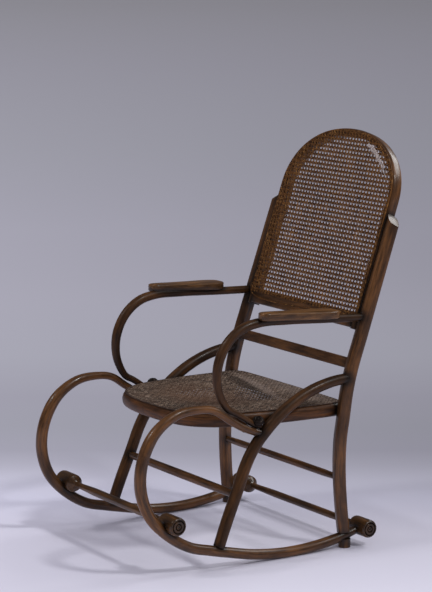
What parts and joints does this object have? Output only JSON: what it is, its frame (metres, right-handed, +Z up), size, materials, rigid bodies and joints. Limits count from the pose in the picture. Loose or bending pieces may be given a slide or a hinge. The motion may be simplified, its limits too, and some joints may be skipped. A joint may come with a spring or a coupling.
{
  "type": "rocking chair",
  "caption": "Bentwood rocking chair with looped rockers, scrolled arms with flat pads, and a caned seat and arched caned back.",
  "frame": {"origin": "on the floor, under the middle of the chair's bounding box", "axes": "+Z up, the sitter looks along -Y, +X is the sitter's left"},
  "size_m": [0.6388, 0.8956, 1.0935],
  "materials": {
    "bent_wood": "satin dark walnut stain",
    "cane": "matte stained woven cane",
    "iron": "dark oiled"
  },
  "bodies": {
    "root": {"rocker_left": "bent_wood", "rocker_right": "bent_wood", "front_leg_left": "bent_wood", "front_leg_right": "bent_wood", "back_post_left": "bent_wood", "back_post_right": "bent_wood", "arm_left": "bent_wood", "arm_right": "bent_wood", "arm_pad_left": "bent_wood", "arm_pad_right": "bent_wood", "rear_stop_left": "bent_wood", "rear_stop_right": "bent_wood", "seat_ring": "bent_wood", "back_hoop": "bent_wood", "back_bottom_rail": "bent_wood", "lower_slat": "bent_wood", "leg_stretcher_front": "bent_wood", "leg_stretcher_rear": "bent_wood", "front_bar": "bent_wood", "rear_bar": "bent_wood", "seat_cane": "cane", "back_cane": "cane", "arm_bolt_left": "iron", "arm_bolt_right": "iron", "rocker_end_screw_left": "iron", "rocker_end_screw_right": "iron", "leg_top_screw_left": "iron", "leg_top_screw_right": "iron", "arm_rear_screw_left": "iron", "arm_rear_screw_right": "iron", "leg_seat_screw_left": "iron", "leg_seat_screw_right": "iron", "post_seat_screw_left": "iron", "post_seat_screw_right": "iron", "hoop_screw_lower_left": "iron", "hoop_screw_lower_right": "iron", "hoop_screw_upper_left": "iron", "hoop_screw_upper_right": "iron"}
  },
  "joints": []
}
